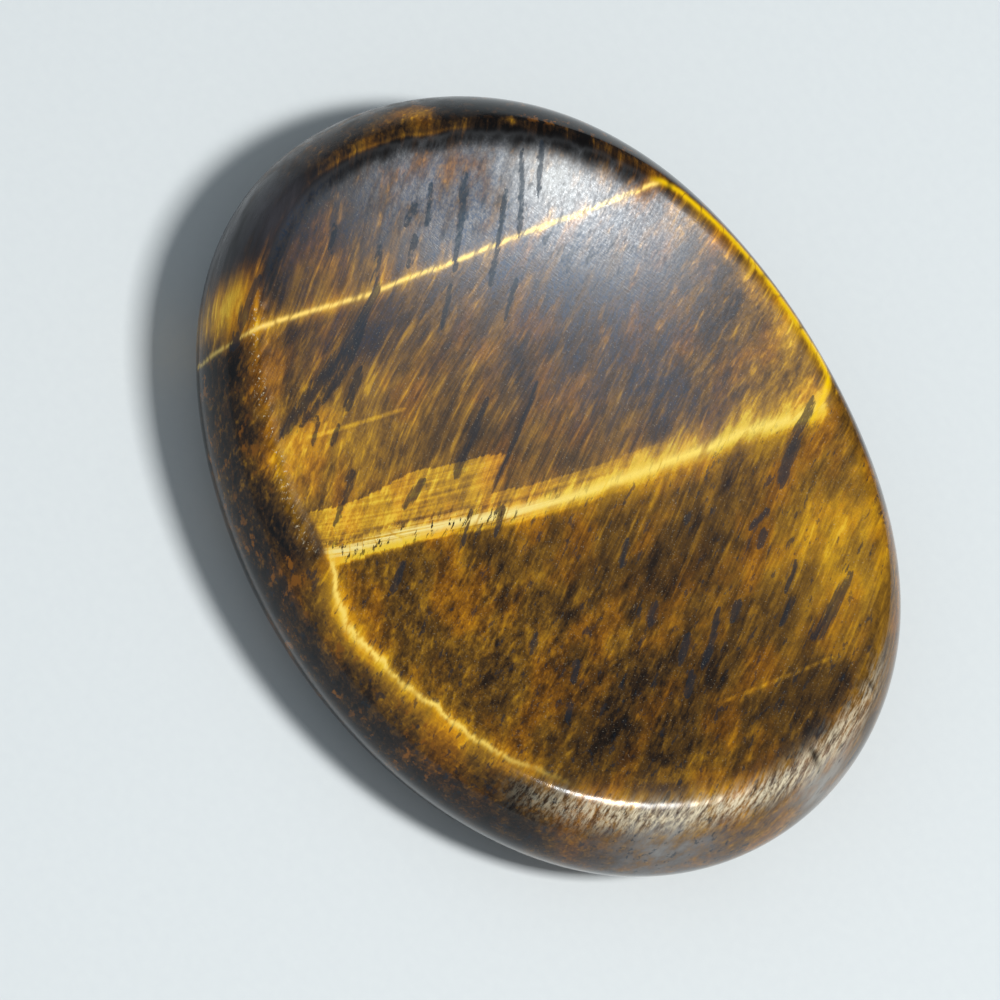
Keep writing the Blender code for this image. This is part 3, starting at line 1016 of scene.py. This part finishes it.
# From the rust up: how much shows, and its colour
LAID_OVER = (
    (quartz_share["grey_tone"], blended["quartz"]),
    (quartz_share["milky_and_sheen"], linear(MILKY_QUARTZ_AND_SHEEN)),
    (blue_share, blended["spindle"]),
    (mark["wall flecks"], linear(WALL_AMBER)),
    (shown_core["upper"], linear(UPPER_LINE_PAINTED_HIGHLIGHT)),
    (shown_core["lower"], blended["lower core"]),
    (shown_core["thread"], blended["thread core"]),
    (mark["notches"], linear(NOTCH_BROWN)),
    (mark["torn gaps"], linear(GAP_BROWN)),
    (straw_share, linear(STRAW)),
    (mark["dust"], linear(DUST_WHITE)),
    # painted shade in the nicks
    (read["painted_nick_shade"], linear(NICK_SHADE_BROWN)),
)
for share, colour in LAID_OVER:
    feeds = {0: share, 6: stone_colour, 7: colour}
    stone_colour = add(tree, "Mix", feeds, data_type="RGBA").outputs[2]
print("colours laid over the rust:", len(LAID_OVER))

# %% [markdown]
# The outside was polished to a sharp gloss, but the hollow was only ground fine, so it is satin, and a
# broad haze lies where it mirrors the light. One gloss can't be both sharp and broad, so the sharp one
# has its roughness mapped and a rough coat over the hollow gives the haze. The fibres below spread the
# gloss a little to their sides, and golden ones tint it as a metal would.

# %% Silk, satin and polish
QUARTZ_IOR = 1.54
SATIN_ROUGHNESS = 0.29
GLITTER = 0.16  # how much the roughness of the satin varies from grain to grain
POLISH_ROUGHNESS = 0.09
GOLD_METALLIC = 0.2
feeds = {"Value": tone, "From Min": 0.3, "From Max": 1.0, "To Min": 0.0, "To Max": GOLD_METALLIC}
metallic = add(tree, "MapRange", feeds)
free_of_grey = add(tree, "Math", {0: 1.0, 1: quartz_share["grey_tone"]}, operation="SUBTRACT")
metallic = add(tree, "Math", {0: metallic, 1: free_of_grey}, operation="MULTIPLY")
feeds = {"Value": grain["specks"], "From Min": 0.35, "From Max": 0.65}
feeds |= {"To Min": SATIN_ROUGHNESS - GLITTER / 2, "To Max": SATIN_ROUGHNESS + GLITTER / 2}
grainy = add(tree, "MapRange", feeds)
roughness = add(tree, "MapRange", {"Value": polish, "To Min": grainy, "To Max": POLISH_ROUGHNESS})
feeds = {"Value": grain["streaks"], "From Min": 0.38, "From Max": 0.62, "To Min": 0.5, "To Max": 1.4}
feeds = {0: read["coarse"], 1: add(tree, "MapRange", feeds)}
coarse_streaks = add(tree, "Math", feeds, operation="MULTIPLY")
blue_hollow = add(tree, "Math", {0: blue, 1: in_hollow}, operation="MULTIPLY")
# Rougher places and how much rougher: torn fibres, the coarsely ground edge, and the blue asbestos
ROUGHER_PLACES = ((torn_rim, 0.30), (coarse_streaks, 0.45), (blue_hollow, 0.16))
for share, more in ROUGHER_PLACES:
    roughness = add(tree, "Math", {0: share, 1: more, 2: roughness}, operation="MULTIPLY_ADD")
print("roughness from", POLISH_ROUGHNESS, "up, in", len(ROUGHER_PLACES), "places rougher")

# %% Haze, scratches and the finished shader
HAZE_ROUGHNESS = 0.6  # ground quartz also scatters some light widely
HAZE_TINT = "#EDF6FF"
HAZE_WEIGHTS = (0.62, 0.05)  # above and below the lower line
SCRATCH_DEPTH = 0.006 * MM
SILK_DEPTH = 0.03 * MM
feeds = {"Value": lower_part, "To Min": HAZE_WEIGHTS[0], "To Max": HAZE_WEIGHTS[1]}
haze_weight = add(tree, "MapRange", feeds)
clear_of_blue = add(tree, "Math", {0: blue, 1: -0.6, 2: 1.0}, operation="MULTIPLY_ADD")
haze = in_hollow
for share in (haze_weight, edge_free, clear_of_blue):
    haze = add(tree, "Math", {0: haze, 1: share}, operation="MULTIPLY")
bump_strength = add(tree, "Math", {0: in_hollow, 1: 0.9, 2: 0.05}, operation="MULTIPLY_ADD")
feeds = {"Strength": bump_strength, "Distance": SCRATCH_DEPTH, "Height": scratches}
scratched = add(tree, "Bump", feeds)
feeds = {"Strength": 0.15, "Distance": SILK_DEPTH, "Height": grain["silk"], "Normal": scratched}
silky = add(tree, "Bump", feeds)
across_fibres = add(tree, "CombineXYZ", {0: math.sin(FIBRE_BEARING), 1: -math.cos(FIBRE_BEARING)})
links = {
    "Base Color": stone_colour,
    "Metallic": metallic.outputs[0],
    "Roughness": roughness.outputs[0],
    "Normal": silky.outputs[0],
    "Tangent": across_fibres.outputs[0],
    "Coat Weight": haze.outputs[0],
    "Coat Normal": silky.outputs[0],
}
for name, source in links.items():
    tree.links.new(source, shader.inputs[name])
settings = {
    "Anisotropic": 0.2,
    "IOR": QUARTZ_IOR,
    "Specular IOR Level": 0.28,
    "Specular Tint": linear(HAZE_TINT),
    "Coat Roughness": HAZE_ROUGHNESS,
    "Coat IOR": QUARTZ_IOR,
}
for name, value in settings.items():
    shader.inputs[name].default_value = value
stone.data.materials.clear()
stone.data.materials.append(tigers_eye)
print("nodes in the stone's material:", len(tree.nodes))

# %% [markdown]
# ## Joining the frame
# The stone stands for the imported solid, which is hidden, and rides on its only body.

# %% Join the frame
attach(stone, "root")
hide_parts("worry_stone")

# %% [markdown]
# ## Floor
# The stone lies on plain, pale card. A large sheet with a trace of mottling looks like card and
# not like a void, and its edge stays out of every view.

# %% Floor
FLOOR_SIDE = 6.0
CARD_COLOURS = ("#D3D9DC", "#D8DEE0")
CARD_GRAIN = 0.6  # mm
bpy.ops.mesh.primitive_plane_add(size=FLOOR_SIDE, location=(0, 0, 0))
floor = bpy.context.active_object
floor.name = "floor"
card, card_tree, card_shader = new_material("pale_card")
place = add(card_tree, "TexCoord").outputs["Object"]
feeds = {"Vector": place, "Scale": 1 / (CARD_GRAIN * MM), "Detail": 3.0}
fibre_felt = add(card_tree, "TexNoise", feeds).outputs["Fac"]
feeds = {0: fibre_felt, 6: linear(CARD_COLOURS[0]), 7: linear(CARD_COLOURS[1])}
card_colour = add(card_tree, "Mix", feeds, data_type="RGBA").outputs[2]
card_tree.links.new(card_colour, card_shader.inputs["Base Color"])
card_shader.inputs["Roughness"].default_value = 0.8
floor.data.materials.append(card)
print("floor:", tuple(round(side, 2) for side in floor.dimensions))

# %% [markdown]
# ## Camera
# The view looks down on the stone from the front, turned so that its long side runs from the upper
# left to the lower right. The turn is about the line of sight, so the camera's own axes are
# worked out from three angles. A long lens from a third of a metre keeps the oval's shape.

# %% Camera
AZIMUTH = math.radians(9.0)
ELEVATION = math.radians(62.8)
ROLL = math.radians(47.9)
DISTANCE = 330 * MM
FOCAL_LENGTH = 220.0  # mm, on a sensor 36 mm wide
AIM = Vector((0, 0, BELLY_HEIGHT))
AIM_SHIFT = (-2.60 * MM, -0.90 * MM)  # the stone sits a little right of the middle, and above it

back = Vector((math.sin(AZIMUTH), -math.cos(AZIMUTH), math.tan(ELEVATION))).normalized()
level = Vector((0, 0, 1)).cross(back).normalized()
upright = back.cross(level)
camera_right = level * math.cos(ROLL) + upright * math.sin(ROLL)
camera_up = upright * math.cos(ROLL) - level * math.sin(ROLL)
bpy.ops.object.camera_add()
camera = bpy.context.active_object
camera.data.lens = FOCAL_LENGTH
camera.data.sensor_width = 36.0
place = AIM + back * DISTANCE + camera_right * AIM_SHIFT[0] + camera_up * AIM_SHIFT[1]
camera_axes = Matrix((camera_right, camera_up, back)).transposed().to_4x4()
camera.matrix_world = Matrix.Translation(place) @ camera_axes
bpy.context.scene.camera = camera
print("camera at", [round(v, 3) for v in place])

# %% [markdown]
# ## Light
# A slim softbox hangs high on the right, its long side along the lower rim. It gives the white glint
# on the rim and the pale haze in the hollow. The rest is the soft light of a pale room. Its dark side
# is where the polished walls and the hollow mirror it, so that the stone keeps its depth, and its
# bright side fills the shadow.

# %% Light
KEY_DIRECTION = Vector((0.358, 0.078, 0.930)).normalized()
KEY_DISTANCE = 0.6
KEY_SIDES = (0.08, 0.15)  # metres
KEY_BEARING = math.radians(48)  # the way its long side points
KEY_POWER = 3.4
KEY_COLOUR = "#FFFEFC"
bpy.ops.object.light_add(type="AREA")
key = bpy.context.active_object
key.name = "key_softbox"
key.data.shape = "RECTANGLE"
key.data.size, key.data.size_y = KEY_SIDES
key.data.energy = KEY_POWER
key.data.color = linear(KEY_COLOUR)[:3]
long_side = Vector((math.cos(KEY_BEARING), math.sin(KEY_BEARING), 0))
short_side = long_side.cross(KEY_DIRECTION).normalized()
long_side = KEY_DIRECTION.cross(short_side)
key_axes = Matrix((short_side, long_side, KEY_DIRECTION)).transposed().to_4x4()
key.matrix_world = Matrix.Translation(KEY_DIRECTION * KEY_DISTANCE) @ key_axes

ROOM_COLOUR = "#DDE7EE"
BRIGHT_SIDE = (-0.38, -0.82, 0.43)  # the way to it
BRIGHT_SIDE_POWER = 0.55
DARK_SIDE_POWER = 0.16
world = bpy.data.worlds.new("pale_room")
bpy.context.scene.world = world
world.use_nodes = True
room_tree = world.node_tree
room_tree.nodes.clear()
direction = add(room_tree, "TexCoord").outputs["Generated"]
toward = add(room_tree, "VectorMath", {0: direction, 1: BRIGHT_SIDE}, operation="DOT_PRODUCT")
feeds = {"Value": toward.outputs["Value"], "From Min": -0.2}
feeds |= {"To Min": DARK_SIDE_POWER, "To Max": BRIGHT_SIDE_POWER}
brightness = add(room_tree, "MapRange", feeds, interpolation_type="SMOOTHSTEP")
room = add(room_tree, "Background", {"Color": linear(ROOM_COLOUR), "Strength": brightness})
add(room_tree, "OutputWorld", {"Surface": room})
bpy.context.scene.view_settings.view_transform = "Standard"
print("key light from", [round(v, 3) for v in key.location])
